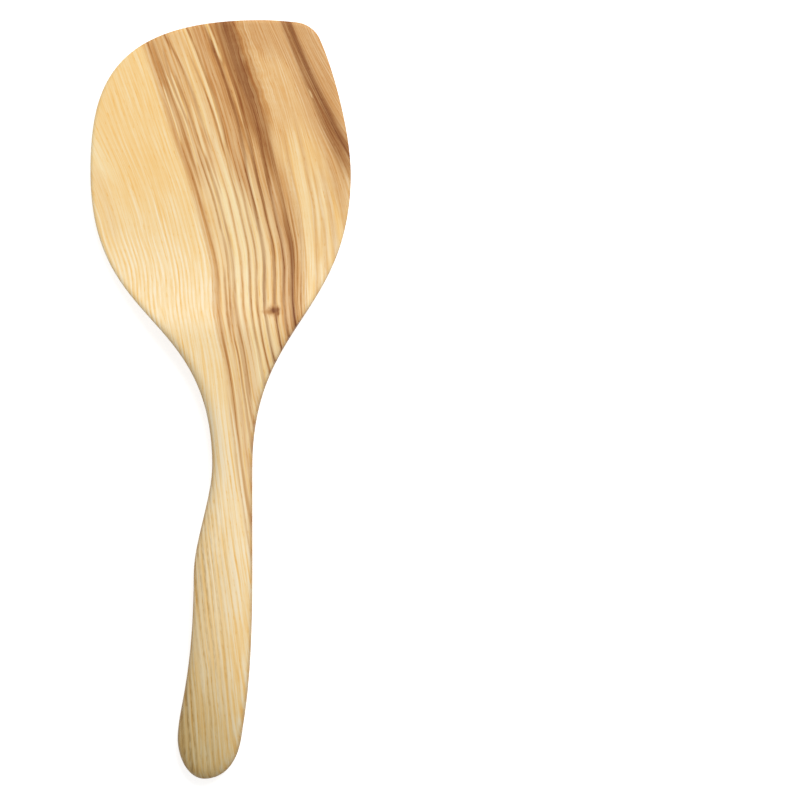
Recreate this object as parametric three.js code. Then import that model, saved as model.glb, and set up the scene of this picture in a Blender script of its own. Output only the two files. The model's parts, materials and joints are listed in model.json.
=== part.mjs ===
// A wooden spatula carved in one piece from a single board: a broad blade with a slanted end, a slim
// neck, and a handle that swells at the grip and bends a little to one side at its heel.
// Millimetres, +Z up. It lies on its flat back with the blade towards +Y, and the origin is under the
// middle of its length and of the blade's width.
import * as THREE from "three";

// Spans along the length, from the butt end of the handle to the crown, the blade's highest point
const BUTT_TO_HEEL = 17;
const HEEL_TO_GRIP = 65;
const GRIP_TO_NECK = 41;
const NECK_TO_BLADE = 117;
const BLADE_TO_CROWN = 60;

// Widths of the plan at the heel, the grip, the neck and the widest place of the blade
const HEEL_WIDTH = 25.3;
const GRIP_WIDTH = 23.1;
const NECK_WIDTH = 15.8;
const BLADE_WIDTH = 103;

// How far the middle of each place lies off the blade's centre line, with + to the right
const BUTT_OFFSET = -6.5;
const HEEL_OFFSET = -4.3;
const GRIP_OFFSET = 1.1;
const NECK_OFFSET = 4.7;
const CROWN_OFFSET = 16.3;

// The tip corner, where the crown meets the right flank of the blade
const TIP_INSET = 15.2;
const TIP_DROP = 1.4;
const TIP_RADIUS = 11.5;
const CROWN_FALL_DEGREES = 4.6;
const FLANK_LEAN_DEGREES = 25.3;
const HEEL_LEAN_DEGREES = 8;

// Thicknesses in side view, and the hollow ramp that leads from the thick neck down to the thin blade
const BUTT_THICKNESS = 9.5;
const GRIP_THICKNESS = 14.8;
const NECK_THICKNESS = 12.5;
const BLADE_THICKNESS = 5.5;
const CROWN_THICKNESS = 2.6;
const NECK_TO_RAMP = 56;
const RAMP_LENGTH = 38;

// Sanded edges: how far each one reaches in from the outline, and how far it drops from the face. On
// the grip they reach so far in that they crown the whole face.
const BUTT_EDGE_REACH = 6;
const GRIP_EDGE_REACH = 8.5;
const NECK_EDGE_REACH = 5.5;
const HANDLE_EDGE_DROP = 4.8;
const HANDLE_BACK_REACH = 4;
const HANDLE_BACK_DROP = 3.2;
const BLADE_EDGE_REACH = 1.6;
const BLADE_EDGE_DROP = 1.1;
const MOST_OF_HALF_WIDTH = 0.85;
const MOST_OF_THICKNESS = 0.42;

// How full the outline's curves are: the share of a span that the tangent at each end runs along
const BUTT_FULLNESS = 0.5;
const HEEL_FULLNESS = 0.615;
const HEEL_EASE = 0.15;
const GRIP_HOLD = 0.645;
const NECK_EASE = 0.26;
const LEFT_FLARE = 0.546;
const RIGHT_FLARE = 0.495;
const SHOULDER_FULLNESS = 0.545;
const CROWN_FULLNESS = 0.907;
const CROWN_EASE = 0.33;
const FLANK_EASE = 0.255;

// Fineness of the surface
const ROW_STEP = 5;
const BUTT_COLUMNS = 7;
const BUTT_ROWS = 5;
const FLANK_ROWS = 7;
const TIP_STEPS = 3;
const RIGHT_CROWN_COLUMNS = 3;
const EDGE_STEPS = 5;
const END_BLEND_ROWS = 18;
const CURVE_TOLERANCE = 1e-9;

const HEEL_AT = BUTT_TO_HEEL;
const GRIP_AT = HEEL_AT + HEEL_TO_GRIP;
const NECK_AT = GRIP_AT + GRIP_TO_NECK;
const BLADE_AT = NECK_AT + NECK_TO_BLADE;
const LENGTH = BLADE_AT + BLADE_TO_CROWN;
const RAMP_AT = NECK_AT + NECK_TO_RAMP;
const RAMP_END = RAMP_AT + RAMP_LENGTH;
const COLUMNS = 2 * BUTT_COLUMNS;
const LEFT_CROWN_COLUMNS = COLUMNS - RIGHT_CROWN_COLUMNS - TIP_STEPS;
const TOP_ROWS = FLANK_ROWS + TIP_STEPS;

const { lerp, smoothstep, degToRad } = THREE.MathUtils;
const UP = new THREE.Vector2(0, 1);
const RIGHT = new THREE.Vector2(1, 0);
const LEFT = new THREE.Vector2(-1, 0);

function slanted(degrees) {
  return new THREE.Vector2(Math.sin(degToRad(degrees)), Math.cos(degToRad(degrees)));
}

// A curve that leaves one point along its direction and arrives at the next along that one's own
function sweep(from, leaving, fromShare, to, arriving, toShare) {
  const span = to.clone().sub(from);
  const first = from.clone().addScaledVector(leaving, Math.abs(span.dot(leaving)) * fromShare);
  const second = to.clone().addScaledVector(arriving, -Math.abs(span.dot(arriving)) * toShare);
  return new THREE.CubicBezierCurve(from, first, second, to);
}

// The key points of one side of the plan; side is -1 for the left and 1 for the right
function sidePoints(side) {
  return {
    heel: new THREE.Vector2(HEEL_OFFSET + (side * HEEL_WIDTH) / 2, HEEL_AT),
    grip: new THREE.Vector2(GRIP_OFFSET + (side * GRIP_WIDTH) / 2, GRIP_AT),
    neck: new THREE.Vector2(NECK_OFFSET + (side * NECK_WIDTH) / 2, NECK_AT),
    blade: new THREE.Vector2((side * BLADE_WIDTH) / 2, BLADE_AT),
  };
}

// One side of the handle, from the butt to the widest place of the blade
function handleCurves(side, heelDirection, flare) {
  const { heel, grip, neck, blade } = sidePoints(side);
  const butt = new THREE.Vector2(BUTT_OFFSET, 0);
  const outward = side < 0 ? LEFT : RIGHT;
  return {
    end: sweep(butt, outward, BUTT_FULLNESS, heel, heelDirection, HEEL_FULLNESS),
    climbs: [
      sweep(heel, heelDirection, HEEL_EASE, grip, UP, GRIP_HOLD),
      sweep(grip, UP, NECK_EASE, neck, UP, NECK_EASE),
      sweep(neck, UP, flare, blade, UP, flare),
    ],
  };
}

// The blade's end: a long shoulder up to the crown on the left, and on the right a leaning flank, a
// round tip corner and a short fall of the crown
function bladeEndCurves() {
  const crown = new THREE.Vector2(CROWN_OFFSET, LENGTH);
  const leftWidest = sidePoints(-1).blade;
  const rightWidest = sidePoints(1).blade;
  const flankUp = slanted(-FLANK_LEAN_DEGREES);
  const crownAngle = degToRad(90 + CROWN_FALL_DEGREES);
  const crownOut = new THREE.Vector2(Math.sin(crownAngle), Math.cos(crownAngle));
  const corner = new THREE.Vector2(BLADE_WIDTH / 2 - TIP_INSET, LENGTH - TIP_DROP);
  const turn = degToRad(90 - FLANK_LEAN_DEGREES - CROWN_FALL_DEGREES);
  const tangentLength = TIP_RADIUS * Math.tan(turn / 2);
  const onCrown = corner.clone().addScaledVector(crownOut, -tangentLength);
  const onFlank = corner.clone().addScaledVector(flankUp, -tangentLength);
  const centre = new THREE.Vector2(onCrown.x + crownOut.y * TIP_RADIUS, onCrown.y - crownOut.x * TIP_RADIUS);
  const startAngle = Math.atan2(onFlank.y - centre.y, onFlank.x - centre.x);
  return {
    shoulder: sweep(leftWidest, UP, SHOULDER_FULLNESS, crown, RIGHT, CROWN_FULLNESS),
    flank: sweep(rightWidest, UP, FLANK_EASE, onFlank, flankUp, FLANK_EASE),
    tip: new THREE.ArcCurve(centre.x, centre.y, TIP_RADIUS, startAngle, startAngle + turn, false),
    crownFall: sweep(onCrown, crownOut.clone().negate(), CROWN_EASE, crown, LEFT, CROWN_EASE),
  };
}

// Heights along the handle and flanks at which a row of the surface crosses from side to side
function rowHeights() {
  const stops = [HEEL_AT, GRIP_AT, NECK_AT, RAMP_AT, RAMP_END, BLADE_AT];
  const ordered = stops.filter((stop) => stop <= BLADE_AT).sort((a, b) => a - b);
  const heights = [];
  for (let i = 1; i < ordered.length; i++) {
    const steps = Math.ceil((ordered[i] - ordered[i - 1]) / ROW_STEP);
    for (let step = 0; step < steps; step++) {
      heights.push(lerp(ordered[i - 1], ordered[i], step / steps));
    }
  }
  return heights;
}

// The point of a climbing curve at a given height, found by halving
function pointAtHeight(curve, height) {
  let low = 0;
  let high = 1;
  while (high - low > CURVE_TOLERANCE) {
    const middle = (low + high) / 2;
    if (curve.getPoint(middle).y < height) low = middle;
    else high = middle;
  }
  return curve.getPoint(low);
}

function climbPoints(climbs, heights) {
  return heights.map((height) => {
    const curve = climbs.find((climb) => height <= climb.v3.y) ?? climbs.at(-1);
    return pointAtHeight(curve, height);
  });
}

// The plan as the four edges of a patch: the butt, the two long sides and the crown
function planEdges() {
  const left = handleCurves(-1, UP, LEFT_FLARE);
  const right = handleCurves(1, slanted(HEEL_LEAN_DEGREES), RIGHT_FLARE);
  const end = bladeEndCurves();
  const heights = rowHeights();
  const leftButt = left.end.getSpacedPoints(BUTT_COLUMNS + BUTT_ROWS);
  const rightButt = right.end.getSpacedPoints(BUTT_COLUMNS + BUTT_ROWS);
  const shoulder = end.shoulder.getSpacedPoints(TOP_ROWS + LEFT_CROWN_COLUMNS);
  const flank = end.flank.getSpacedPoints(FLANK_ROWS);
  const tip = end.tip.getSpacedPoints(2 * TIP_STEPS);
  const crownFall = end.crownFall.getSpacedPoints(RIGHT_CROWN_COLUMNS);
  return {
    butt: [...leftButt.slice(0, BUTT_COLUMNS + 1).reverse(), ...rightButt.slice(1, BUTT_COLUMNS + 1)],
    left: [
      ...leftButt.slice(BUTT_COLUMNS, -1),
      ...climbPoints(left.climbs, heights),
      ...shoulder.slice(0, TOP_ROWS + 1),
    ],
    right: [
      ...rightButt.slice(BUTT_COLUMNS, -1),
      ...climbPoints(right.climbs, heights),
      ...flank,
      ...tip.slice(1, TIP_STEPS + 1),
    ],
    crown: [
      ...shoulder.slice(TOP_ROWS),
      ...crownFall.slice(0, -1).reverse(),
      ...tip.slice(TIP_STEPS, -1).reverse(),
    ],
  };
}

// Thickness of the wood at a distance from the butt: the handle's face falls away rounder and rounder
// from the grip to the butt, and the ramp is a hollow that starts at a crisp line and runs out into
// the blade's straight taper
function thicknessAt(y) {
  if (y <= GRIP_AT) return GRIP_THICKNESS - (GRIP_THICKNESS - BUTT_THICKNESS) * (1 - y / GRIP_AT) ** 2;
  if (y <= NECK_AT) return lerp(GRIP_THICKNESS, NECK_THICKNESS, smoothstep(y, GRIP_AT, NECK_AT));
  if (y <= RAMP_AT) return NECK_THICKNESS;
  const slope = (BLADE_THICKNESS - CROWN_THICKNESS) / (LENGTH - RAMP_END);
  const taper = BLADE_THICKNESS - slope * (y - RAMP_END);
  const left = Math.max(0, 1 - (y - RAMP_AT) / RAMP_LENGTH);
  const rise = NECK_THICKNESS - BLADE_THICKNESS - slope * RAMP_LENGTH;
  return taper + rise * left * left;
}

// 1 along the handle and 0 on the blade, changing smoothly from the neck to the foot of the ramp
function handleShare(y) {
  return 1 - smoothstep(y, NECK_AT, RAMP_END);
}

// A size that changes smoothly from the heel or butt to the grip and on to the neck
function alongHandle(y, from, low, atGrip, atNeck) {
  if (y <= GRIP_AT) return lerp(low, atGrip, smoothstep(y, from, GRIP_AT));
  return lerp(atGrip, atNeck, smoothstep(y, GRIP_AT, NECK_AT));
}

// Reach and drop of the sanded edges at a point of the outline, kept within the wood that is there
function edgeAt(y) {
  const share = handleShare(y);
  const handleReach = alongHandle(y, 0, BUTT_EDGE_REACH, GRIP_EDGE_REACH, NECK_EDGE_REACH);
  const widest = (MOST_OF_HALF_WIDTH * alongHandle(y, HEEL_AT, HEEL_WIDTH, GRIP_WIDTH, NECK_WIDTH)) / 2;
  const deepest = MOST_OF_THICKNESS * thicknessAt(y);
  return {
    faceReach: Math.min(widest, lerp(BLADE_EDGE_REACH, handleReach, share)),
    faceDrop: Math.min(deepest, lerp(BLADE_EDGE_DROP, HANDLE_EDGE_DROP, share)),
    backReach: Math.min(widest, lerp(BLADE_EDGE_REACH, HANDLE_BACK_REACH, share)),
    backDrop: Math.min(deepest, lerp(BLADE_EDGE_DROP, HANDLE_BACK_DROP, share)),
  };
}

// The outline once round, counterclockwise seen from above, starting at the left end of the butt
function closedOutline(edges) {
  return [
    ...edges.butt.slice(0, -1),
    ...edges.right.slice(0, -1),
    ...edges.crown.slice(1).reverse(),
    ...edges.left.slice(1).reverse(),
  ];
}

// At each point of the outline, the direction into the wood, square to the edge
function inwardDirections(outline) {
  const count = outline.length;
  return outline.map((point, i) => {
    const along = outline[(i + 1) % count].clone().sub(outline[(i + count - 1) % count]);
    return new THREE.Vector2(-along.y, along.x).normalize();
  });
}

// A surface that is put together from vertices and quads
class Surface {
  positions = [];
  triangles = [];

  addVertex(x, y, z) {
    this.positions.push(x, y, z);
    return this.positions.length / 3 - 1;
  }

  vertex(index) {
    return new THREE.Vector3().fromArray(this.positions, 3 * index);
  }

  // Two triangles, split along the shorter diagonal
  addQuad(a, b, c, d) {
    const acrossAC = this.vertex(a).distanceTo(this.vertex(c));
    const acrossBD = this.vertex(b).distanceTo(this.vertex(d));
    if (acrossAC <= acrossBD) this.triangles.push(a, b, c, a, c, d);
    else this.triangles.push(a, b, d, b, c, d);
  }

  geometry() {
    const geometry = new THREE.BufferGeometry();
    geometry.setAttribute("position", new THREE.Float32BufferAttribute(this.positions, 3));
    geometry.setIndex(this.triangles);
    geometry.computeVertexNormals();
    return geometry;
  }
}

// Rings round the outline, from the rim of the flat back over both sanded edges to the rim of the face
function addSandedRings(surface, outline) {
  const inward = inwardDirections(outline);
  const sanded = outline.map((point) => edgeAt(point.y));

  function addRing(insetOf, heightOf) {
    return outline.map((point, i) => {
      const inset = point.clone().addScaledVector(inward[i], insetOf(sanded[i]));
      return surface.addVertex(inset.x, inset.y, heightOf(sanded[i], inset.y));
    });
  }

  const backRings = [];
  const faceRings = [];
  for (let step = 0; step <= EDGE_STEPS; step++) {
    const angle = (Math.PI / 2) * (step / EDGE_STEPS);
    const inShare = 1 - Math.cos(angle);
    const dropShare = 1 - Math.sin(angle);
    const backRing = addRing(
      (edge) => edge.backReach * inShare,
      (edge) => edge.backDrop * dropShare,
    );
    const faceRing = addRing(
      (edge) => edge.faceReach * inShare,
      (edge, y) => thicknessAt(y) - edge.faceDrop * dropShare,
    );
    backRings.unshift(backRing);
    faceRings.push(faceRing);
  }
  return [...backRings, ...faceRings];
}

function joinRings(surface, rings) {
  const count = rings[0].length;
  for (let r = 1; r < rings.length; r++) {
    for (let i = 0; i < count; i++) {
      const next = (i + 1) % count;
      surface.addQuad(rings[r - 1][i], rings[r - 1][next], rings[r][next], rings[r][i]);
    }
  }
}

// The vertex of a ring that lies at a row and column on the border of its patch
function borderVertex(ring, rows, row, column) {
  if (row === 0) return ring[column];
  if (column === COLUMNS) return ring[COLUMNS + row];
  if (row === rows) return ring[2 * COLUMNS + rows - column];
  return ring[2 * COLUMNS + 2 * rows - row];
}

// 1 at an end row of a patch, falling to 0 over the rows next to it
function endShare(rowsAway) {
  return Math.max(0, 1 - rowsAway / END_BLEND_ROWS) ** 2;
}

// A grid of vertices inside a ring, with heights from a function. Its rows run straight from side to
// side, and near the two ends they take on the curve of the end row.
function patchGrid(surface, ring, rows, heightOf) {
  const border = (row, column) => surface.vertex(borderVertex(ring, rows, row, column));
  const straight = (row, column) => border(row, 0).lerp(border(row, COLUMNS), column / COLUMNS);
  const bulge = (row, column) => border(row, column).sub(straight(row, column));
  const grid = [];
  for (let row = 0; row <= rows; row++) {
    const line = [];
    for (let column = 0; column <= COLUMNS; column++) {
      if (row === 0 || row === rows || column === 0 || column === COLUMNS) {
        line.push(borderVertex(ring, rows, row, column));
        continue;
      }
      const point = straight(row, column);
      point.addScaledVector(bulge(0, column), endShare(row));
      point.addScaledVector(bulge(rows, column), endShare(rows - row));
      line.push(surface.addVertex(point.x, point.y, heightOf(point.y)));
    }
    grid.push(line);
  }
  return grid;
}

function addPatch(surface, grid, facesUp) {
  for (let row = 1; row < grid.length; row++) {
    for (let column = 1; column <= COLUMNS; column++) {
      const near = [grid[row - 1][column - 1], grid[row - 1][column]];
      const far = [grid[row][column], grid[row][column - 1]];
      if (facesUp) surface.addQuad(...near, ...far);
      else surface.addQuad(...far.reverse(), ...near.reverse());
    }
  }
}

function backHeight() {
  return 0;
}

function carvedGeometry() {
  const edges = planEdges();
  const rows = edges.left.length - 1;
  const surface = new Surface();
  const rings = addSandedRings(surface, closedOutline(edges));
  joinRings(surface, rings);
  addPatch(surface, patchGrid(surface, rings[0], rows, backHeight), false);
  addPatch(surface, patchGrid(surface, rings.at(-1), rows, thicknessAt), true);
  return surface.geometry();
}

const ash = new THREE.MeshStandardMaterial({ color: 0xe6bf86, roughness: 0.6, metalness: 0 });
const spatula = new THREE.Mesh(carvedGeometry(), ash);
spatula.name = "spatula";
spatula.position.set(0, -LENGTH / 2, 0);

const group = new THREE.Group();
group.add(spatula);

export default group;
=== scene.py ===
# %% [markdown]
# # A carved ash spatula
#
# The spatula is one piece of olive ash, sawn from a board, carved, sanded and oiled. Its measured
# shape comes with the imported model. This lesson smooths that shape, grows the board's grain through
# it as a material, and lights it as a plain picture from straight above.

# %% Load the measured model
import json
from collections import namedtuple

import bpy
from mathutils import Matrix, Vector

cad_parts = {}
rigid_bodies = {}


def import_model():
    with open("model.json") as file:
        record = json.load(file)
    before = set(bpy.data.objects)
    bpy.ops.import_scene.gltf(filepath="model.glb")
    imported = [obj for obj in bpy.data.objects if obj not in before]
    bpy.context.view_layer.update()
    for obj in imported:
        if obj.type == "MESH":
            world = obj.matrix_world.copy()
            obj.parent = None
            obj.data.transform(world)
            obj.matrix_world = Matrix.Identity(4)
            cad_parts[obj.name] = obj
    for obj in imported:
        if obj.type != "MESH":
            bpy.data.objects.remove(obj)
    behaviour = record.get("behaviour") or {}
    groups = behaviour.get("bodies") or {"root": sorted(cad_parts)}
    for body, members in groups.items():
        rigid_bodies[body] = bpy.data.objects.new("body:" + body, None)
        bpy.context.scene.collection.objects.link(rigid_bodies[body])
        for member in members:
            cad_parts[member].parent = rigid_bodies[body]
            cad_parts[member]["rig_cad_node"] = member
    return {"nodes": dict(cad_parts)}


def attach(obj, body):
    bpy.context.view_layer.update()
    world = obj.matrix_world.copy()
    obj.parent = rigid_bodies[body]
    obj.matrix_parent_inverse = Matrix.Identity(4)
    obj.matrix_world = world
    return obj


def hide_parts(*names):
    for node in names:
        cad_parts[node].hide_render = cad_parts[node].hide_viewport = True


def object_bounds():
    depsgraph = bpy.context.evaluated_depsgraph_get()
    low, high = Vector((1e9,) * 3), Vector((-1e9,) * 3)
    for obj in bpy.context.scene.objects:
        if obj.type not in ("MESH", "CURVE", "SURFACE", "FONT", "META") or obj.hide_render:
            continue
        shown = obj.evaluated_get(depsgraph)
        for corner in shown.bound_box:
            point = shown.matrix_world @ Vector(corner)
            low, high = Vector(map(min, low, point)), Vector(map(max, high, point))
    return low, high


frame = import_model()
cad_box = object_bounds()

MM = 0.001
LENGTH = (cad_box[1].y - cad_box[0].y) / MM
print("CAD nodes:", sorted(frame["nodes"]), "length in mm:", round(LENGTH, 1))

# %% [markdown]
# ## The camera
#
# The picture is taken from straight above, so the camera looks down the Z axis. A wide lens close
# by would show the flanks of the handle, and an orthographic camera would lose all depth in other
# views. A long lens from far away is nearly as flat, and it is what a product photographer uses.

# %% Hang the camera over the spatula
CAMERA_HEIGHT = 1.6
PICTURE_WIDTH = 0.3158
PICTURE_CENTRE = (0.07085, -0.0004)
BLADE_FACE_HEIGHT = 0.005

bpy.ops.object.select_all(action="DESELECT")
bpy.ops.object.camera_add(location=(*PICTURE_CENTRE, CAMERA_HEIGHT), rotation=(0, 0, 0))
camera = bpy.context.object
camera.name = "overhead_camera"
camera.data.lens = camera.data.sensor_width * (CAMERA_HEIGHT - BLADE_FACE_HEIGHT) / PICTURE_WIDTH
bpy.context.scene.camera = camera
print("lens in mm:", round(camera.data.lens, 1))

# %% [markdown]
# ## The sanded body
#
# The carver works with a spokeshave and then sands away every flat. The measured model has the right
# outline, ramp and rounded edges, but it is made of flat facets. Modelling the body again would only
# lose accuracy, so a copy of the measured mesh is cleaned up instead: its loose triangles are merged
# and paired into quads, and a subdivision surface sands the facets away.

# %% Copy the measured body and pair its triangles
MERGE_DISTANCE = 0.01 * MM
ANY_ANGLE = 3.2

bpy.ops.object.select_all(action="DESELECT")
measured = frame["nodes"]["spatula"]
measured.select_set(True)
bpy.context.view_layer.objects.active = measured
bpy.ops.object.duplicate()
spatula = bpy.context.object
spatula.name = "carved_spatula"
del spatula["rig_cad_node"]

bpy.ops.object.mode_set(mode="EDIT")
bpy.ops.mesh.select_all(action="SELECT")
bpy.ops.mesh.remove_doubles(threshold=MERGE_DISTANCE)
bpy.ops.mesh.tris_convert_to_quads(face_threshold=ANY_ANGLE, shape_threshold=ANY_ANGLE)
bpy.ops.object.mode_set(mode="OBJECT")
corners = [len(face.vertices) for face in spatula.data.polygons]
print("quads:", corners.count(4), "triangles left:", corners.count(3))

# %% Sand the facets away
SANDING_LEVELS = 2

sanding = spatula.modifiers.new("sanding", "SUBSURF")
sanding.levels = SANDING_LEVELS
sanding.render_levels = SANDING_LEVELS
bpy.ops.object.modifier_apply(modifier="sanding")
bpy.ops.object.shade_smooth()
print("faces after sanding:", len(spatula.data.polygons))

# %% Tie the body to the frame
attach(spatula, "root")
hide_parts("spatula")
print("carved_spatula stands for the node spatula")

# %% [markdown]
# ## Helpers for the wood
#
# A wood material is a long sum of small patterns, and wiring each node by hand hides the idea. The
# bench below adds a node, feeds its sockets with numbers or with other nodes, and hands back the
# result, so that a pattern can be written almost as a formula.

# %% A bench that adds nodes


class Bench:
    """Adds nodes to one node tree."""

    MIX_INPUTS = (0, 6, 7)
    MIX_OUTPUT = 2

    def __init__(self, tree):
        self.tree = tree

    def add(self, kind, **settings):
        """A new node of a kind, with these settings."""
        node = self.tree.nodes.new("ShaderNode" + kind)
        for name, value in settings.items():
            setattr(node, name, value)
        return node

    def feed(self, socket, value):
        """Link another node's output to a socket, or give it a number or a colour."""
        if isinstance(value, bpy.types.NodeSocket):
            self.tree.links.new(value, socket)
        else:
            socket.default_value = value

    def calc(self, operation, *values):
        """One step of arithmetic."""
        node = self.add("Math", operation=operation)
        for socket, value in zip(node.inputs, values):
            self.feed(socket, value)
        return node.outputs[0]

    def remap(self, value, low, high, to_low=0.0, to_high=1.0, easing="SMOOTHSTEP"):
        """Move low and high to new values. A smooth step holds these beyond its ends by itself."""
        node = self.add("MapRange", interpolation_type=easing, clamp=False)
        for socket, number in zip(node.inputs, (value, low, high, to_low, to_high)):
            self.feed(socket, number)
        return node.outputs[0]

    def mix(self, share, first, second, blend="MIX"):
        """Blend two colours, by the sockets that a Mix node keeps for colours."""
        node = self.add("Mix", data_type="RGBA", blend_type=blend)
        for index, value in zip(self.MIX_INPUTS, (share, first, second)):
            self.feed(node.inputs[index], value)
        return node.outputs[self.MIX_OUTPUT]


print("bench ready")

# %% [markdown]
# ## Where the grain runs
#
# The board is sawn so that its growth rings stand nearly upright, and on the face they are long
# curves that sweep from the crown down to the right of the butt. Four of them are easy to follow by
# eye: the edge between pale sapwood and brown heartwood, the dark streak in the middle of the blade, a
# second dark streak by the right flank, and a soft line between these two. Wood could be painted along
# straight lines, but then nothing would bend with the ramp. So the four curves are drawn as Float
# Curves, through points that give a station from the butt and a place across the tool, both in mm.
# Every point of the wood then gets a place across the grain: 0 on the sapwood's edge, 1 on the dark
# streak, 1.5 on the soft line and 2 on the second streak.

# %% Draw the four grain lines
SAPWOOD_EDGE = [(0, 27), (60, 18), (120, 9.2), (155, 4.4), (167, 2.6), (174, 1.2), (180, 0),
                (186, -1.1), (192, -1.6), (198, -1.9), (204, -2.6), (216, -5.3), (230, -9),
                (255, -17.3), (280, -25.6), (300, -33)]
DARK_STREAK = [(0, 68), (60, 54), (120, 42), (155, 35.4), (167, 32.4), (174, 30.8), (180, 29.6),
               (186, 28.7), (192, 28.3), (203, 28.1), (210, 27.5), (220, 25.3), (240, 20.3),
               (262, 15.2), (280, 9.4), (300, 3)]
SOFT_LINE = [(0, 80), (100, 54), (170, 39), (186, 38), (200, 38.3), (222, 37), (240, 34), (260, 29.5),
             (280, 23.5), (300, 15.5)]
SECOND_STREAK = [(0, 96.5), (100, 80), (180, 68), (200, 65), (220, 60.6), (240, 53.7), (260, 42.5),
                 (280, 33), (300, 24)]
LINE_LOW = -50.0
LINE_HIGH = 110.0

ash = bpy.data.materials.new("oiled_olive_ash")
ash.use_nodes = True
ash.node_tree.nodes.clear()
bench = Bench(ash.node_tree)

coordinates = bench.add("TexCoord")
split = bench.add("SeparateXYZ")
bench.feed(split.inputs[0], coordinates.outputs["Object"])
across_mm = bench.calc("DIVIDE", split.outputs["X"], MM)
along_mm = bench.calc("ADD", bench.calc("DIVIDE", split.outputs["Y"], MM), LENGTH / 2)
depth_mm = bench.calc("DIVIDE", split.outputs["Z"], MM)


def drawn_line(points, low, high):
    """A curve through points of station and value, both in mm, read at the station along the tool."""
    curve = bench.add("FloatCurve")
    bench.feed(curve.inputs["Value"], bench.calc("DIVIDE", along_mm, LENGTH))
    knots = curve.mapping.curves[0].points
    while len(knots) < len(points):
        knots.new(0.5, 0.5)
    for knot, (station, value) in zip(knots, points):
        knot.location = (station / LENGTH, (value - low) / (high - low))
    curve.mapping.update()
    return bench.calc("MULTIPLY_ADD", curve.outputs[0], high - low, low)


drawings = (SAPWOOD_EDGE, DARK_STREAK, SOFT_LINE, SECOND_STREAK)
grain_lines = [drawn_line(points, LINE_LOW, LINE_HIGH) for points in drawings]
print("grain lines drawn:", len(grain_lines))

# %% [markdown]
# ## Rings that bend over
#
# A growth ring is an arc, so it can stand upright only at one height in the board. Here that is at the
# face, and further down the rings bend over to the right. Without this the flanks would show a row of
# ruled upright bars. The four lines are drawn on the face, so the depth counts from the face down: its
# height is read from the mesh, station by station, and a point on a flank or on the back takes the
# grain of a spot further to the left.

# %% Bend the rings
RING_BEND = 22.0
FACE_STEP = 10
FACE_TOP = 20.0


def face_height(station):
    """The highest point of the body near a station, in mm."""
    heights = [vertex.co.z / MM for vertex in spatula.data.vertices
               if abs(vertex.co.y / MM + LENGTH / 2 - station) < FACE_STEP / 2]
    return max(heights)


face_points = [(station, face_height(station)) for station in range(0, round(LENGTH) + 1, FACE_STEP)]
below_face = bench.calc("SUBTRACT", drawn_line(face_points, 0.0, FACE_TOP), depth_mm)
bent_over = bench.calc("DIVIDE", bench.calc("MULTIPLY", below_face, below_face), 2 * RING_BEND)
grain_across = bench.calc("SUBTRACT", across_mm, bent_over)
print("face heights in mm:", [round(height, 1) for station, height in face_points])

# %% Measure every point across the grain


def share_between(first, second):
    """0 on the first grain line and 1 on the second, beyond them too."""
    from_first = bench.calc("SUBTRACT", grain_across, first)
    return bench.calc("DIVIDE", from_first, bench.calc("SUBTRACT", second, first))


SOFT_LINE_STEP = 0.5

edge_line, dark_line, soft_line, second_line = grain_lines
left_part = bench.calc("MINIMUM", share_between(edge_line, dark_line), 1.0)
middle_part = bench.calc("MAXIMUM", share_between(dark_line, soft_line), 0.0)
middle_part = bench.calc("MINIMUM", middle_part, 1.0)
right_part = bench.calc("MAXIMUM", share_between(soft_line, second_line), 0.0)
past_dark = bench.calc("ADD", middle_part, right_part)
straight_grain = bench.calc("MULTIPLY_ADD", past_dark, SOFT_LINE_STEP, left_part)
print("grain runs from the sapwood's edge to the second streak")

# %% [markdown]
# ## Fibres round a knot
#
# A twig once grew out of the ramp, and it left a small knot. Fibres flow round a knot as water flows
# round a stone. Drawing each bent line by hand would be slow. Near the knot every point simply takes
# the grain of a place closer to the knot's middle, which spreads the lines apart.

# %% Part the grain round the knot
GRAIN_UNIT = 32.0
KNOT_ACROSS = 21.4
KNOT_ALONG = 184.8
KNOT_REACH = 5.5
KNOT_PUSH = 0.25
KNOT_FADE = (1.0, 0.1)


def knot_distance(half_width, half_length, right=0.0, up=0.0):
    """Distance from a spot near the knot's middle, 1 on an ellipse of these half sizes in mm."""
    parts = []
    spans = ((grain_across, KNOT_ACROSS + right, half_width), (along_mm, KNOT_ALONG + up, half_length))
    for value, middle, half in spans:
        part = bench.calc("DIVIDE", bench.calc("SUBTRACT", value, middle), half)
        parts.append(bench.calc("MULTIPLY", part, part))
    return bench.calc("SQRT", bench.calc("ADD", *parts))


closeness = bench.remap(knot_distance(KNOT_REACH, KNOT_REACH), *KNOT_FADE)
aside = bench.calc("DIVIDE", bench.calc("SUBTRACT", grain_across, KNOT_ACROSS), GRAIN_UNIT)
push = bench.calc("MULTIPLY", bench.calc("MULTIPLY", closeness, aside), KNOT_PUSH)
parted_grain = bench.calc("SUBTRACT", straight_grain, push)
print("fibres part within", KNOT_REACH, "mm of the knot")

# %% [markdown]
# ## Wavy fibres
#
# Fibres are never ruled lines. A slow noise sways them, and a fine noise that is stretched along the
# grain frays the edges of the streaks. By the dark streak's top the fibres are curly, and there a
# noise that lies across them tears the edge into flames. All are noises over grain space, so they
# follow the curves.

# %% Sway and fray the grain
DEPTH_STRETCH = 4
NOISE_ROUGHNESS = 0.5
SWAY_SIZE = (9, 36)
SWAY = 0.05
FRAY_SIZE = (1.1, 16)
FRAY = 0.025


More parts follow.
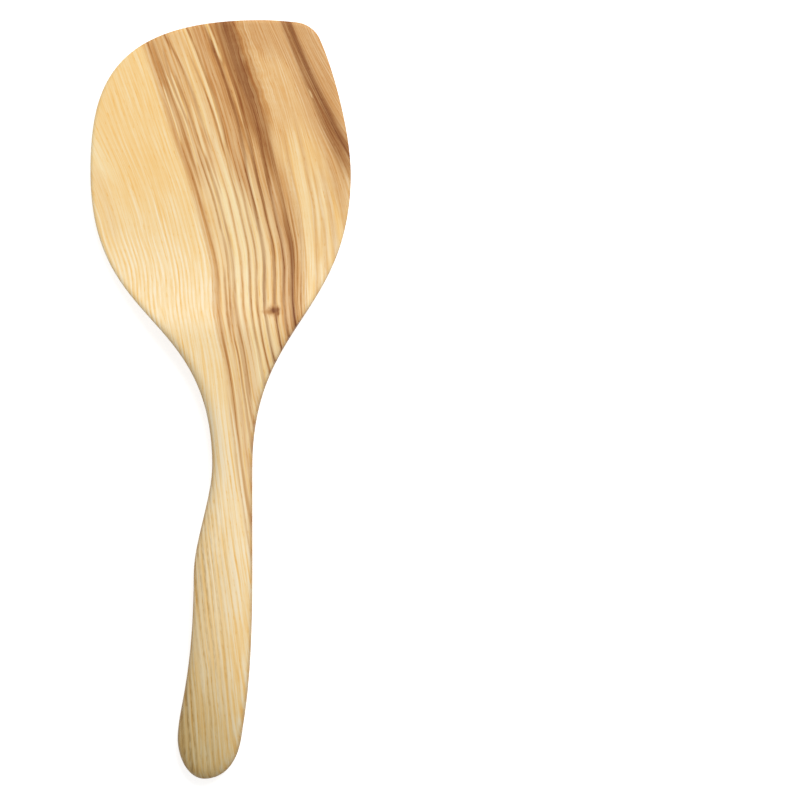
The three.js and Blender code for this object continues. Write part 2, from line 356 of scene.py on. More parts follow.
def grain_noise(across_size, along_size, grain, detail=2.0):
    """Noise from -0.5 to 0.5 whose grains have these sizes in mm across and along the fibres."""
    spread = bench.add("CombineXYZ")
    bench.feed(spread.inputs["X"], bench.calc("MULTIPLY", grain, GRAIN_UNIT / across_size))
    bench.feed(spread.inputs["Y"], bench.calc("DIVIDE", along_mm, along_size))
    bench.feed(spread.inputs["Z"], bench.calc("DIVIDE", depth_mm, across_size * DEPTH_STRETCH))
    noise = bench.add("TexNoise")
    bench.feed(noise.inputs["Vector"], spread.outputs[0])
    bench.feed(noise.inputs["Scale"], 1.0)
    bench.feed(noise.inputs["Detail"], detail)
    bench.feed(noise.inputs["Roughness"], NOISE_ROUGHNESS)
    return bench.calc("SUBTRACT", noise.outputs[0], 0.5)


grain = bench.calc("MULTIPLY_ADD", grain_noise(*SWAY_SIZE, parted_grain), SWAY, parted_grain)
frayed = bench.calc("MULTIPLY_ADD", grain_noise(*FRAY_SIZE, grain), FRAY, grain)
print("sway", SWAY, "and fray", FRAY, "of a grain unit of", GRAIN_UNIT, "mm")

# %% Curl the fibres at the dark streak's top
CURL = 0.08
CURL_SIZE = (6, 5)
CURL_STATIONS = (252, 274)
CURL_LEFT = (0.94, 1.02)
CURL_RIGHT = (1.6, 1.15)


def band(value, rise, fall):
    """1 between two soft edges. An edge says where it is 0 and where it is 1."""
    return bench.calc("MULTIPLY", bench.remap(value, *rise), bench.remap(value, *fall))


curl_zone = bench.calc("MULTIPLY", bench.remap(along_mm, *CURL_STATIONS),
                       band(grain, CURL_LEFT, CURL_RIGHT))
curls = grain_noise(*CURL_SIZE, grain, detail=1.0)
frayed = bench.calc("MULTIPLY_ADD", bench.calc("MULTIPLY", curls, curl_zone), CURL, frayed)
print("curl of up to", CURL, "grain units")

# %% [markdown]
# ## The tones of the board
#
# Olive ash goes from creamy sapwood to brown heartwood. A colour picker on each spot would give a
# thousand colours, and a joiner would name nine. The nine are mixed here once.

# %% Mix the tones


def tone(red, green, blue):
    """A screen colour, 0 to 255, as the linear colour that nodes take, by the screen's own curve."""
    shares = [value / 255 for value in (red, green, blue)]
    linear = [s / 12.92 if s <= 0.04045 else ((s + 0.055) / 1.055) ** 2.4 for s in shares]
    return (*linear, 1.0)


TONES = {
    "cream": tone(252, 234, 188),
    "straw": tone(246, 216, 161),
    "gold": tone(247, 209, 144),
    "honey": tone(231, 187, 127),
    "blush": tone(225, 183, 131),
    "fawn": tone(212, 163, 106),
    "hazel": tone(187, 131, 70),
    "umber": tone(152, 95, 42),
    "bark": tone(124, 71, 27),
}
print("tones:", ", ".join(TONES))

# %% [markdown]
# ## Sapwood and heartwood
#
# The ground of the board is a soft change of tone across the grain: gold sapwood on the left, straw
# and honey heartwood in the middle and fawn wood by the right flank. A noise would scatter the tones,
# and a Color Ramp keeps each at its place across the grain.

# %% Lay the ground
GROUND = [(-1.4, "gold"), (-0.1, "gold"), (0.03, "honey"), (0.25, "straw"), (0.6, "straw"),
          (0.75, "honey"), (0.95, "fawn"), (1.1, "honey"), (1.8, "honey"), (2.2, "fawn")]
GROUND_LOW = GROUND[0][0]
GROUND_HIGH = GROUND[-1][0]

ramp = bench.add("ValToRGB")
bench.feed(ramp.inputs[0], bench.remap(frayed, GROUND_LOW, GROUND_HIGH, easing="LINEAR"))
stops = ramp.color_ramp.elements
while len(stops) < len(GROUND):
    stops.new(1.0)
for stop, (spot, name) in zip(stops, GROUND):
    stop.position = (spot - GROUND_LOW) / (GROUND_HIGH - GROUND_LOW)
    stop.color = TONES[name]
wood = ramp.outputs[0]
print("ground stops:", len(stops))

# %% [markdown]
# ## Streaks
#
# Over the ground lie the streaks, each a long thin lens of one tone that starts at a station, drifts
# a little across the grain and tapers off again. Painting them as a texture would fix them to one
# view. One node group draws a lens, and a list says where each streak runs: its foot towards the
# butt and its tip towards the crown, both as station in mm and place across the grain.

# %% Build the node group for one streak
STREAK_INPUTS = ["Across", "Along", "Patches", "Foot", "Foot Place", "Tip", "Tip Place", "Bow",
                 "Width", "Soft", "Strength"]
TAPER = 0.7


def make_streak_group():
    """A group that lays one lens over the wood. Its middle share is 0 at both ends and 1 halfway."""
    tree = bpy.data.node_groups.new("streak", "ShaderNodeTree")
    for name in ("Wood", "Tone"):
        tree.interface.new_socket(name, in_out="INPUT", socket_type="NodeSocketColor")
    for name in STREAK_INPUTS:
        tree.interface.new_socket(name, in_out="INPUT", socket_type="NodeSocketFloat")
    tree.interface.new_socket("Wood", in_out="OUTPUT", socket_type="NodeSocketColor")
    lens = Bench(tree)
    given = tree.nodes.new("NodeGroupInput").outputs
    share = lens.remap(given["Along"], given["Foot"], given["Tip"], easing="LINEAR")
    middle = lens.calc("MULTIPLY", lens.calc("MULTIPLY", share, lens.calc("SUBTRACT", 1.0, share)), 4.0)
    drift = lens.calc("MULTIPLY", share, lens.calc("SUBTRACT", given["Tip Place"], given["Foot Place"]))
    centre = lens.calc("ADD", lens.calc("ADD", given["Foot Place"], drift),
                       lens.calc("MULTIPLY", middle, given["Bow"]))
    body = lens.remap(middle, 0.0, TAPER)
    half = lens.calc("MULTIPLY", lens.calc("MULTIPLY", given["Width"], 0.5), body)
    blur = lens.calc("MULTIPLY", lens.calc("MULTIPLY", given["Width"], 0.5), given["Soft"])
    distance = lens.calc("ABSOLUTE", lens.calc("SUBTRACT", given["Across"], centre))
    cover = lens.remap(distance, lens.calc("ADD", half, blur), lens.calc("SUBTRACT", half, blur))
    strength = lens.calc("MULTIPLY", given["Patches"], given["Strength"])
    cover = lens.calc("MULTIPLY", lens.calc("MULTIPLY", cover, body), strength)
    result = tree.nodes.new("NodeGroupOutput")
    lens.feed(result.inputs[0], lens.mix(cover, given["Wood"], given["Tone"]))
    return tree


STREAK_GROUP = make_streak_group()
print("streak group nodes:", len(STREAK_GROUP.nodes))

# %% List the broad streaks
Streak = namedtuple("Streak", "tone foot tip width soft bow strength", defaults=(1.0, 0.0, 0.9))

broad_streaks = [
    Streak("fawn", (226, 0.11), (330, 0.17), 0.36, soft=0.3, strength=0.65),
    Streak("honey", (226, 0.42), (330, 0.4), 0.36, soft=0.6, strength=0.8),
    Streak("fawn", (212, 0.655), (330, 0.64), 0.22, soft=0.5, strength=1.0),
    Streak("hazel", (242, 0.81), (330, 0.79), 0.19, soft=0.6, strength=0.8),
    Streak("gold", (130, 1.5), (268, 1.55), 0.8, soft=0.5),
    Streak("fawn", (279, 1.7), (340, 1.7), 1.5, soft=0.5, strength=0.85),
    Streak("fawn", (150, 1.14), (256, 1.12), 0.22, soft=0.7, strength=0.8),
    Streak("hazel", (246, 1.08), (330, 1.12), 0.14, soft=1.0, strength=0.8),
    Streak("hazel", (206, 0.99), (264, 0.985), 0.14, soft=0.6, strength=0.5),
    Streak("umber", (228, 0.998), (360, 0.925), 0.19, soft=0.6, strength=0.67),
    Streak("bark", (258, 0.97), (340, 0.92), 0.11, soft=0.9, strength=0.35),
    Streak("umber", (286, 1.0), (322, 1.04), 0.11, soft=0.9, strength=0.7),
    Streak("umber", (276, 1.01), (294, 1.06), 0.08, soft=1.0, strength=0.7),
    Streak("honey", (282, 1.06), (300, 1.1), 0.08, soft=1.0, strength=0.4),
    Streak("fawn", (214, 1.8), (304, 1.82), 0.22, soft=1.0, strength=0.8),
    Streak("umber", (222, 1.93), (350, 2.2), 0.26, soft=0.6, bow=-0.01, strength=0.95),
    Streak("bark", (230, 1.98), (350, 2.25), 0.07, soft=1.0, bow=-0.01, strength=0.6),
    Streak("straw", (268.5, 1.915), (273, 1.92), 0.03, soft=1.0, strength=0.6),
    Streak("cream", (232, -1.05), (272, -1.05), 0.3, soft=1.0, strength=0.5),
    Streak("honey", (210, -1.17), (246, -1.17), 0.16, soft=1.0, strength=0.35),
]
print("broad streaks:", len(broad_streaks))

# %% List the fine streaks of the upper blade
upper_streaks = [
    Streak("hazel", (262, 0.045), (312, 0.01), 0.034),
    Streak("fawn", (232, -0.01), (276, -0.025), 0.034),
    Streak("hazel", (230, 0.075), (308, 0.075), 0.034, bow=0.008),
    Streak("hazel", (254, 0.168), (292, 0.185), 0.022, bow=-0.035, strength=0.8),
    Streak("hazel", (244, 0.232), (282, 0.198), 0.028),
    Streak("hazel", (245, 0.33), (304, 0.17), 0.034, bow=0.065),
    Streak("hazel", (212, 0.188), (252, 0.184), 0.028),
    Streak("hazel", (206, 0.26), (250, 0.246), 0.03, strength=0.8),
    Streak("fawn", (226, 0.3), (262, 0.3), 0.02),
    Streak("straw", (246, 0.004), (276, 0.028), 0.018),
    Streak("straw", (254, 0.142), (282, 0.1), 0.02),
    Streak("straw", (258, 0.182), (280, 0.165), 0.018),
    Streak("straw", (240, 0.12), (262, 0.14), 0.024),
    Streak("straw", (249, 0.36), (289, 0.375), 0.055, strength=0.9),
    Streak("straw", (243, 0.25), (270, 0.27), 0.03),
    Streak("straw", (240, 0.495), (310, 0.46), 0.05, bow=0.025),
    Streak("hazel", (240, 0.48), (290, 0.42), 0.024, bow=0.02, strength=0.7),
    Streak("hazel", (238, 0.52), (312, 0.45), 0.028, bow=0.06),
    Streak("umber", (234, 0.7), (302, 0.7), 0.03, bow=0.045, strength=0.8),
    Streak("straw", (281, 0.795), (314, 0.68), 0.035),
    Streak("honey", (255, 0.8), (286, 0.79), 0.024),
    Streak("umber", (250, 0.84), (310, 0.85), 0.05, strength=0.5),
]
print("fine streaks of the upper blade:", len(upper_streaks))

# %% List the fine streaks of the ramp and the neck
lower_streaks = [
    Streak("fawn", (150, -0.02), (258, -0.015), 0.07, strength=0.7),
    Streak("hazel", (150, -0.005), (256, -0.005), 0.03, bow=0.035, strength=0.8),
    Streak("blush", (104, 0.16), (200, 0.22), 0.34, soft=0.6, strength=0.65),
    Streak("hazel", (70, -0.002), (186, 0.006), 0.036, strength=0.75),
    Streak("hazel", (60, -0.058), (160, -0.058), 0.024, strength=0.5),
    Streak("straw", (80, -0.035), (150, -0.035), 0.02, strength=0.8),
    Streak("straw", (84, 0.032), (182, 0.045), 0.032),
    Streak("straw", (100, 0.105), (182, 0.128), 0.028),
    Streak("hazel", (110, 0.14), (182, 0.158), 0.026, strength=0.7),
    Streak("straw", (116, 0.17), (182, 0.18), 0.022, strength=0.8),
    Streak("hazel", (116, 0.195), (182, 0.21), 0.024, strength=0.6),
    Streak("straw", (130, 0.247), (186, 0.257), 0.034),
    Streak("straw", (140, 0.055), (244, 0.085), 0.04, bow=0.01),
    Streak("hazel", (174, 0.13), (204, 0.125), 0.034, strength=0.7),
    Streak("hazel", (174, 0.185), (222, 0.195), 0.034, strength=0.7),
    Streak("hazel", (140, 0.23), (226, 0.26), 0.038),
    Streak("cream", (168, 0.29), (246, 0.335), 0.042, bow=-0.01, strength=0.7),
    Streak("fawn", (160, 0.335), (244, 0.37), 0.03),
    Streak("cream", (130, 0.385), (268, 0.42), 0.045, bow=0.01, strength=0.75),
    Streak("hazel", (120, 0.43), (262, 0.52), 0.036, bow=-0.03, strength=0.8),
    Streak("hazel", (120, 0.515), (258, 0.605), 0.04, bow=-0.02),
    Streak("straw", (140, 0.565), (246, 0.6), 0.042),
    Streak("umber", (130, 0.62), (262, 0.73), 0.038, soft=0.8, bow=-0.03, strength=0.8),
    Streak("straw", (140, 0.67), (256, 0.735), 0.042),
    Streak("umber", (140, 0.73), (272, 0.835), 0.036, soft=0.8, bow=-0.005, strength=0.95),
    Streak("straw", (160, 0.785), (234, 0.845), 0.05, strength=0.6),
    Streak("umber", (140, 0.86), (280, 0.975), 0.038, soft=0.8, bow=-0.015, strength=1.0),
    Streak("blush", (165, 0.9), (244, 0.975), 0.06),
    Streak("umber", (130, 0.97), (234, 1.043), 0.09, soft=0.7, strength=0.9),
    Streak("bark", (130, 0.975), (224, 1.035), 0.045, strength=0.65),
    Streak("umber", (211, 1.02), (256, 1.04), 0.06, bow=0.02, strength=0.55),
    Streak("hazel", (160, 1.07), (236, 1.15), 0.035, soft=1.0),
    Streak("hazel", (160, 1.15), (230, 1.24), 0.03, soft=1.0, strength=0.8),
]
print("fine streaks of the ramp and the neck:", len(lower_streaks))

# %% List the fine streaks by the right flank
right_streaks = [
    Streak("fawn", (160, 1.275), (264, 1.27), 0.05, soft=1.0, strength=0.7),
    Streak("straw", (180, 1.4), (264, 1.38), 0.11, soft=1.0, strength=0.6),
    Streak("fawn", (160, 1.5), (272, 1.5), 0.05, soft=1.0, strength=0.6),
    Streak("straw", (190, 1.535), (250, 1.535), 0.03, soft=1.0, strength=0.6),
    Streak("fawn", (180, 1.575), (250, 1.575), 0.035, soft=1.0, strength=0.5),
    Streak("straw", (190, 1.61), (246, 1.61), 0.03, soft=1.0, strength=0.6),
    Streak("fawn", (186, 1.645), (248, 1.65), 0.04, soft=1.0, strength=0.7),
    Streak("fawn", (200, 1.745), (252, 1.745), 0.05, soft=1.0, strength=0.6),
]
print("fine streaks by the right flank:", len(right_streaks))

# %% Paint the streaks over the ground
PATCH_SIZE = (3, 24)
PATCH_NOISE = (-0.25, 0.1)
PATCH_LEVELS = (0.65, 1.0)
RAGGED_SIZE = (0.9, 14)
RAGGED_ENDS = 10.0

patches = bench.remap(grain_noise(*PATCH_SIZE, frayed), *PATCH_NOISE, *PATCH_LEVELS)
station = bench.calc("MULTIPLY_ADD", grain_noise(*RAGGED_SIZE, frayed), RAGGED_ENDS, along_mm)
all_streaks = broad_streaks + upper_streaks + lower_streaks + right_streaks
for streak in all_streaks:
    lens = bench.add("Group", node_tree=STREAK_GROUP)
    values = (frayed, station, patches, *streak.foot, *streak.tip,
              streak.bow, streak.width, streak.soft, streak.strength)
    bench.feed(lens.inputs["Wood"], wood)
    bench.feed(lens.inputs["Tone"], TONES[streak.tone])
    for name, value in zip(STREAK_INPUTS, values):
        bench.feed(lens.inputs[name], value)
    wood = lens.outputs[0]
print("streaks painted:", len(all_streaks))

# %% [markdown]
# ## The knot
#
# What is left of the twig is a small dark heart in a paler halo, with a tail on its left. One round
# spot would look like a drop of ink. So a few lobes of darker and darker tones are laid over one
# another, and a fine noise makes their edges lumpy.

# %% Darken the knot
LOBE_EDGE = (1.2, 0.2)
LUMP_SIZE = (1.0, 1.0)
KNOT_LUMPS = 0.5

KnotLobe = namedtuple("KnotLobe", "tone half_width half_length right up")

knot_lobes = [
    KnotLobe("fawn", 4.4, 2.8, -0.8, 0.0),
    KnotLobe("hazel", 3.2, 1.2, -1.8, -0.6),
    KnotLobe("umber", 1.3, 2.0, 0.9, -1.1),
    KnotLobe("umber", 2.6, 1.9, 0.1, 0.2),
    KnotLobe("bark", 1.7, 1.3, 0.0, 0.0),
]
knot_lumps = bench.calc("MULTIPLY", grain_noise(*LUMP_SIZE, straight_grain), KNOT_LUMPS)
for lobe in knot_lobes:
    distance = knot_distance(lobe.half_width, lobe.half_length, lobe.right, lobe.up)
    cover = bench.remap(bench.calc("ADD", distance, knot_lumps), *LOBE_EDGE)
    wood = bench.mix(cover, wood, TONES[lobe.tone])
print("knot at station", KNOT_ALONG, "mm")

# %% [markdown]
# ## Growth rings and fibres
#
# Ash lays down a row of open pores each spring and dense wood each summer, so its face is drawn with
# fine lines. Darkening the colour evenly would turn them grey. In the real wood the red stays and the
# blue drops, and that is just what a Gamma node does: above 1 it browns a tone, below 1 it pales it.
# All the lines are added up to one number, which drives one Gamma node. The rings are faint on the
# upper blade, clear on the ramp and softer on the grip, and at the top of the neck the sapwood is
# nearly plain.

# %% Draw the growth rings
RINGS_PER_UNIT = 18.0
WANDER_SIZE = (14, 160)
RING_WANDER = 1.6
RING_FRAY = 0.35
SPRING_RISE = (0.0, 0.12)
SPRING_FALL = (0.5, 0.15)
SUMMER_RISE = (0.4, 0.7)
SUMMER_FALL = (1.0, 0.8)
SUMMER_PALING = 0.8

ring_grain = bench.calc("MULTIPLY_ADD", bench.calc("SUBTRACT", frayed, grain), RING_FRAY, grain)
ring_place = bench.calc("MULTIPLY_ADD", grain_noise(*WANDER_SIZE, grain), RING_WANDER,
                        bench.calc("MULTIPLY", ring_grain, RINGS_PER_UNIT))
ring_share = bench.calc("FRACT", ring_place)
spring_line = band(ring_share, SPRING_RISE, SPRING_FALL)
summer_line = band(ring_share, SUMMER_RISE, SUMMER_FALL)
ring_lines = bench.calc("SUBTRACT", spring_line, bench.calc("MULTIPLY", summer_line, SUMMER_PALING))
print("rings every", round(GRAIN_UNIT / RINGS_PER_UNIT, 1), "mm or so")

# %% Set the strength of the rings along the tool
HEART_LEFT = (-0.06, 0.02)
HEART_RIGHT = (1.3, 1.05)
INTO_RAMP = (236, 200)
BLADE_RINGS = 0.07
RAMP_RINGS = 0.26
INTO_GRIP = (170, 95)
GRIP_WIDTH = (-8, 8)
LEFT_GRIP_FADE = -0.18
RIGHT_GRIP_FADE = -0.06
INTO_FLANK = (1.05, 1.2)
FLANK_RINGS = 0.45

heart_share = band(grain, HEART_LEFT, HEART_RIGHT)
grip_fade = bench.remap(across_mm, *GRIP_WIDTH, LEFT_GRIP_FADE, RIGHT_GRIP_FADE)
ring_level = bench.calc("ADD", bench.remap(along_mm, *INTO_RAMP, BLADE_RINGS, RAMP_RINGS),
                        bench.remap(along_mm, *INTO_GRIP, 0.0, grip_fade))
ring_level = bench.calc("MULTIPLY", ring_level, bench.remap(grain, *INTO_FLANK, 1.0, FLANK_RINGS))
print("ring strength on the blade:", BLADE_RINGS, "on the ramp:", RAMP_RINGS)

# %% Quiet the sapwood of the neck and stir the upper heartwood
PLAIN_STATION = 163
PLAIN_REACH = (8, 24)
PLAIN_RINGS = 0.4
LEFT_OF_STREAK = (0.92, 0.7)
UP_THE_BLADE = (215, 245)
RAMP_HEART = -0.1
BLADE_HEART = 0.16
RING_PATCH_SIZE = (4, 90)
RING_PATCH_NOISE = (-0.2, 0.2)
RING_PATCH_LEVELS = (0.5, 1.4)

from_plain = bench.calc("ABSOLUTE", bench.calc("SUBTRACT", along_mm, PLAIN_STATION))
plain_sap = bench.calc("MAXIMUM", heart_share, bench.remap(from_plain, *PLAIN_REACH, PLAIN_RINGS, 1.0))
ring_level = bench.calc("MULTIPLY", ring_level, plain_sap)
upper_heart = bench.calc("MULTIPLY", heart_share, bench.remap(grain, *LEFT_OF_STREAK))
upper_heart = bench.calc("MULTIPLY", upper_heart,
                         bench.remap(along_mm, *UP_THE_BLADE, RAMP_HEART, BLADE_HEART))
ring_level = bench.calc("ADD", ring_level, upper_heart)
ring_patches = bench.remap(grain_noise(*RING_PATCH_SIZE, grain), *RING_PATCH_NOISE, *RING_PATCH_LEVELS)
rings = bench.calc("MULTIPLY", ring_lines, bench.calc("MULTIPLY", ring_level, ring_patches))
print("plain sapwood about station", PLAIN_STATION, "mm")

# %% Grow fine lines, fibres, figure and pores
INTO_HANDLE = (190, 150)
FINE_LINE_SIZE = (0.6, 50)
FINE_LINES = 0.3
HEART_FINE_LINES = 0.9
HANDLE_FINE_LINES = 1.2
FIBRE_SIZE = (0.5, 20)
FIBRES = 1.3
HANDLE_FIBRE_LOSS = 0.3
FIGURE_SIZE = (5, 1.8)
FIGURE = 0.15
CURL_FIGURE = 0.2
PORE_SIZE = (0.5, 3)
OPEN_PORE = (0.08, 0.2)

handle_share = bench.remap(along_mm, *INTO_HANDLE)
fine_lines = grain_noise(*FINE_LINE_SIZE, frayed)
fine_strength = bench.calc("ADD", bench.calc("MULTIPLY_ADD", heart_share, HEART_FINE_LINES, FINE_LINES),
                           bench.calc("MULTIPLY", handle_share, HANDLE_FINE_LINES))
fibres = grain_noise(*FIBRE_SIZE, frayed)
fibre_strength = bench.calc("SUBTRACT", FIBRES, bench.calc("MULTIPLY", handle_share, HANDLE_FIBRE_LOSS))
figure = grain_noise(*FIGURE_SIZE, grain, detail=3.0)
figure_strength = bench.calc("MULTIPLY_ADD", curl_zone, CURL_FIGURE, FIGURE)
pores = grain_noise(*PORE_SIZE, frayed)
pore_line = bench.calc("MULTIPLY", bench.remap(pores, *OPEN_PORE), spring_line)
print("fine lines, fibres, figure and pores grown")

# %% Add up all the lines
TAN_STATIONS = (235, 280)
UPPER_TAN = 0.12
PORE_BROWN = 0.4

upper_tan = bench.calc("MULTIPLY", heart_share, bench.remap(along_mm, *TAN_STATIONS, 0.0, UPPER_TAN))
browning = bench.calc("ADD", 1.0, bench.calc("ADD", rings, upper_tan))
lines = ((fine_lines, fine_strength), (fibres, fibre_strength), (figure, figure_strength),
         (pore_line, PORE_BROWN))
for pattern, strength in lines:
    browning = bench.calc("MULTIPLY_ADD", pattern, strength, browning)
print("patterns added to the rings:", len(lines))

# %% [markdown]
# ## Painted light and shade along the tool
#
# The sapwood is painted palest on the ramp and the neck and darker on the blade and the grip: painted
# sheen on the ramp, where its slope faces the soft box, painted light on the neck, and painted shade
# towards the grip, where the light falls off. A second coat of colour would hide the lines. So each
# change is one more step in the number that drives the Gamma node: a pair of stations and a change
# between them. A floor under that number keeps the palest lines from turning white.

# %% Paint light on the ramp and the neck and shade towards the grip
LIGHT_AND_SHADE_STEPS = [(244, 198, 0.28), (180, 164, -0.1), (165, 140, 0.2), (125, 70, -0.16)]
HEART_LIGHT_AND_SHADE = 0.15
PAST_STREAK = (1.05, 1.3)
PAST_STREAK_LOSS = 0.45
LEAST_SAP = 0.45
LEAST_HEART = 0.88

sap_share = bench.remap(heart_share, 0.0, 1.0, 1.0, HEART_LIGHT_AND_SHADE)
sap_share = bench.calc("SUBTRACT", sap_share, bench.remap(grain, *PAST_STREAK, 0.0, PAST_STREAK_LOSS))
# Painted sheen and light pale the ramp and the neck, and painted shade darkens the sapwood towards the
# grip.
painted_light_and_shade = 0.0
for upper, lower, change in LIGHT_AND_SHADE_STEPS:
    painted_light_and_shade = bench.calc("ADD", painted_light_and_shade, bench.remap(along_mm, upper, lower, 0.0, change))
painted_light_and_shade = bench.calc("MULTIPLY", painted_light_and_shade, sap_share)
browning = bench.calc("SUBTRACT", browning, painted_light_and_shade)
least_browning = bench.remap(heart_share, 0.0, 1.0, LEAST_SAP, LEAST_HEART)
browning = bench.calc("MAXIMUM", browning, least_browning)
gamma = bench.add("Gamma")
bench.feed(gamma.inputs["Color"], wood)
bench.feed(gamma.inputs["Gamma"], browning)
wood = gamma.outputs[0]
print("one Gamma node browns and pales the wood in", len(LIGHT_AND_SHADE_STEPS), "steps")

# %% [markdown]
# ## A darker grip, worn and shaded
#
# The end of the handle is darker, partly olive from use and partly painted shade, where the light
# falls off towards the butt and on the left. Its open pores hold a little dirt, darkened more on the
# left as painted shade, and the rounded sides of the neck and the handle are darkened with painted
# shade where they turn away from the light. A painted mask could show that. Three multiplied tones are
# simpler: one fades in towards the butt, one follows the rows of pores, and one lies where the surface
# turns away from the face, which the normal tells.

# %% Darken the butt with olive wear and painted shade
OLIVE_AND_SHADE = tone(206, 202, 182)
WORN_AND_SHADE_SLANT = 1.2
WORN_AND_SHADE_STATIONS = (70, -20)

# Painted shade: darker towards the butt and on the left, added to the olive of use.
worn_and_shade_place = bench.calc("ADD", along_mm, bench.calc("MULTIPLY", across_mm, WORN_AND_SHADE_SLANT))
worn_and_shade = bench.remap(worn_and_shade_place, *WORN_AND_SHADE_STATIONS)
wood = bench.mix(worn_and_shade, wood, OLIVE_AND_SHADE, "MULTIPLY")
print("olive from about station", WORN_AND_SHADE_STATIONS[0], "mm down")

# %% Soil the open pores of the grip, with painted shade on the left
PORE_SOIL_AND_SHADE = tone(190, 170, 130)
LEFT_SOIL_AND_SHADE = 0.42
RIGHT_SOIL_AND_SHADE = 0.1 * LEFT_SOIL_AND_SHADE
SOIL_AND_SHADE_STATIONS = (140, 85)
SOIL_AND_SHADE_WIDTH = (-12, 10)
PORE_BAND_RISE = (0.0, 0.3)
PORE_BAND_FALL = (0.85, 0.5)
SPECKLE_NOISE = (-0.15, 0.15)
SPECKLE_LEVELS = (0.6, 1.4)

speckle = bench.remap(pores, *SPECKLE_NOISE, *SPECKLE_LEVELS)
pore_band = band(ring_share, PORE_BAND_RISE, PORE_BAND_FALL)
pore_soil_and_shade_mask = bench.calc("MULTIPLY", bench.calc("MULTIPLY", pore_band, ring_patches), speckle)
pore_soil_and_shade_mask = bench.calc("MULTIPLY", pore_soil_and_shade_mask, bench.remap(along_mm, *SOIL_AND_SHADE_STATIONS))
# Painted shade: the pore tone is stronger on the left, the side away from the light.
pore_soil_and_shade_mask = bench.calc("MULTIPLY", pore_soil_and_shade_mask, bench.remap(across_mm, *SOIL_AND_SHADE_WIDTH, LEFT_SOIL_AND_SHADE, RIGHT_SOIL_AND_SHADE))
wood = bench.mix(pore_soil_and_shade_mask, wood, PORE_SOIL_AND_SHADE, "MULTIPLY")
print("pores soiled below station", SOIL_AND_SHADE_STATIONS[0], "mm")

# %% Paint shade on the rounded sides
SIDE_SHADE = tone(212, 197, 172)
TURNED_AWAY = (0.8, 0.2)
SIDE_SHADE_STATIONS = (200, 165)
BLADE_SIDE_SHADE = 0.3

facing = bench.add("SeparateXYZ")
bench.feed(facing.inputs[0], coordinates.outputs["Normal"])
# Painted shade: the sides are darkened where the surface turns away from the face and the light.
turned_away = bench.remap(bench.calc("ABSOLUTE", facing.outputs["Z"]), *TURNED_AWAY)
side_shade = bench.calc("MULTIPLY", turned_away, bench.remap(along_mm, *SIDE_SHADE_STATIONS, BLADE_SIDE_SHADE, 1.0))
wood = bench.mix(side_shade, wood, SIDE_SHADE, "MULTIPLY")
print("sides darkened, most below station", SIDE_SHADE_STATIONS[1], "mm")

# %% [markdown]
# ## Finish
#
# Oiled wood has a low sheen, a little glossier on the dense summer wood than on the open pores, and
# the fibres can just be felt. Real grooves would need millions of faces. So a Principled shader takes
# the tones as its base colour, and the same fibres, rings and pores drive its roughness and a small
# bump.

# %% Finish the wood
ROUGHNESS = 0.52
FIBRE_ROUGHNESS = 0.3
RING_ROUGHNESS = 0.05
SHINE = 0.25
BUMP_STRENGTH = 0.3
BUMP_DEPTH = 0.15 * MM
PORE_DEPTH = 0.5

shader = bench.add("BsdfPrincipled")
bench.feed(shader.inputs["Base Color"], wood)
roughness = bench.calc("MULTIPLY_ADD", fibres, FIBRE_ROUGHNESS, ROUGHNESS)
roughness = bench.calc("MULTIPLY_ADD", ring_lines, RING_ROUGHNESS, roughness)
bench.feed(shader.inputs["Roughness"], roughness)
shader.inputs["Specular IOR Level"].default_value = SHINE
bump = bench.add("Bump")
bump.inputs["Strength"].default_value = BUMP_STRENGTH
bump.inputs["Distance"].default_value = BUMP_DEPTH
relief = bench.calc("SUBTRACT", fibres, bench.calc("MULTIPLY", pore_line, PORE_DEPTH))
bench.feed(bump.inputs["Height"], relief)
bench.feed(shader.inputs["Normal"], bump.outputs[0])
output = bench.add("OutputMaterial")
bench.feed(output.inputs["Surface"], shader.outputs[0])

spatula.data.materials.clear()
spatula.data.materials.append(ash)
print("nodes in the wood:", len(ash.node_tree.nodes))

# %% [markdown]
# ## Light and floor
#
# A large soft box, high up beyond the crown and to the right, lights the ramp and leaves the handle a
# little darker, and the world fills the shadows. Plain white paper would look grey in that light, and
# more light would bleach the wood. So the paper also glows, for the rays that see it and not for those
# that carry its light to the wood, and its faint shadow stays.

# %% Hang the soft box
KEY_PLACE = Vector((0.5, 0.98, 1.36))
KEY_TARGET = Vector((0.0, 0.03, 0.0))
KEY_SIZE = 0.9
KEY_WATTS = 21.6

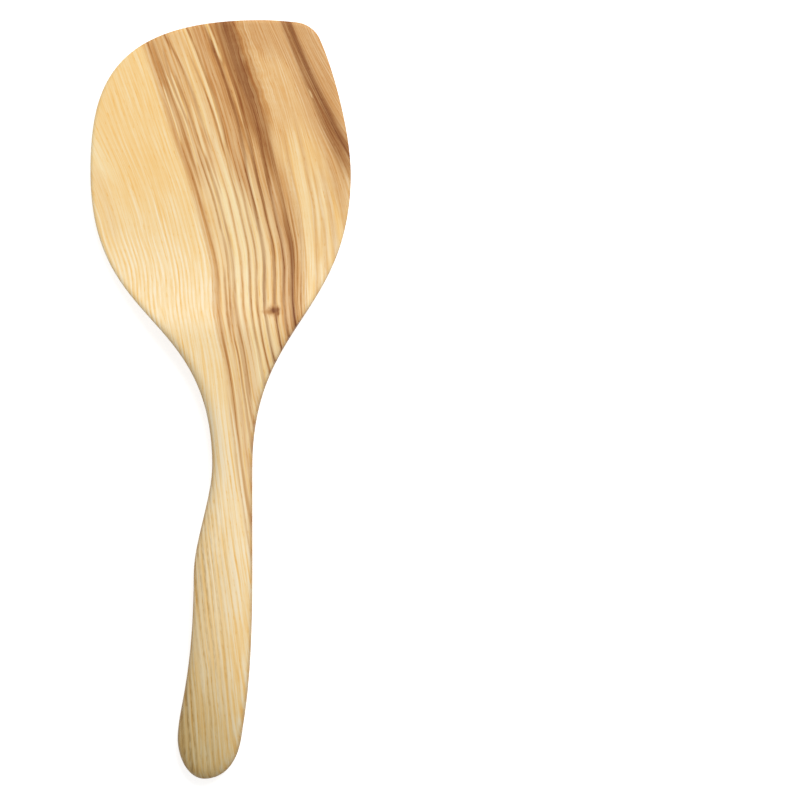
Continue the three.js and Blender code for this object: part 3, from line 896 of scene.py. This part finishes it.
bpy.ops.object.light_add(type="AREA", location=KEY_PLACE)
key = bpy.context.object
key.name = "soft_box"
key.data.size = KEY_SIZE
key.data.energy = KEY_WATTS
key.rotation_mode = "QUATERNION"
key.rotation_quaternion = (KEY_TARGET - KEY_PLACE).to_track_quat("-Z", "Y")
print("soft box at", tuple(KEY_PLACE))

# %% Light the room


def seen_rays(nodes):
    """1 for rays that show the backdrop: camera, glossy and transmission rays."""
    path = nodes.add("LightPath")
    glossy = nodes.calc("MAXIMUM", path.outputs["Is Camera Ray"], path.outputs["Is Glossy Ray"])
    return nodes.calc("MAXIMUM", glossy, path.outputs["Is Transmission Ray"])


WHITE = (1, 1, 1, 1)
FILL = 0.4

world = bpy.data.worlds.new("white_room")
bpy.context.scene.world = world
world.use_nodes = True
room = Bench(world.node_tree)
backdrop = world.node_tree.nodes["Background"]
backdrop.inputs["Color"].default_value = WHITE
backdrop_strength = room.remap(seen_rays(room), 0.0, 1.0, FILL, 1.0, easing="LINEAR")
room.feed(backdrop.inputs["Strength"], backdrop_strength)
bpy.context.scene.view_settings.view_transform = "Standard"
print("fill light:", FILL)

# %% Lay the floor
FLOOR_SIZE = 12.0
FLOOR_DROP = 0.2 * MM
FLOOR_GLOW = 0.68
PAPER = (0.8, 0.8, 0.8, 1)

bpy.ops.mesh.primitive_plane_add(size=FLOOR_SIZE, location=(0, 0, -FLOOR_DROP))
floor = bpy.context.object
floor.name = "floor"
paper = bpy.data.materials.new("white_paper")
paper.use_nodes = True
paper.node_tree.nodes.clear()
sheet = Bench(paper.node_tree)
matt = sheet.add("BsdfDiffuse")
matt.inputs["Color"].default_value = PAPER
glow = sheet.add("Emission")
sheet.feed(glow.inputs["Strength"], sheet.calc("MULTIPLY", seen_rays(sheet), FLOOR_GLOW))
both = sheet.add("AddShader")
sheet.feed(both.inputs[0], matt.outputs[0])
sheet.feed(both.inputs[1], glow.outputs[0])
sheet.feed(sheet.add("OutputMaterial").inputs["Surface"], both.outputs[0])
floor.data.materials.append(paper)
print("floor laid")
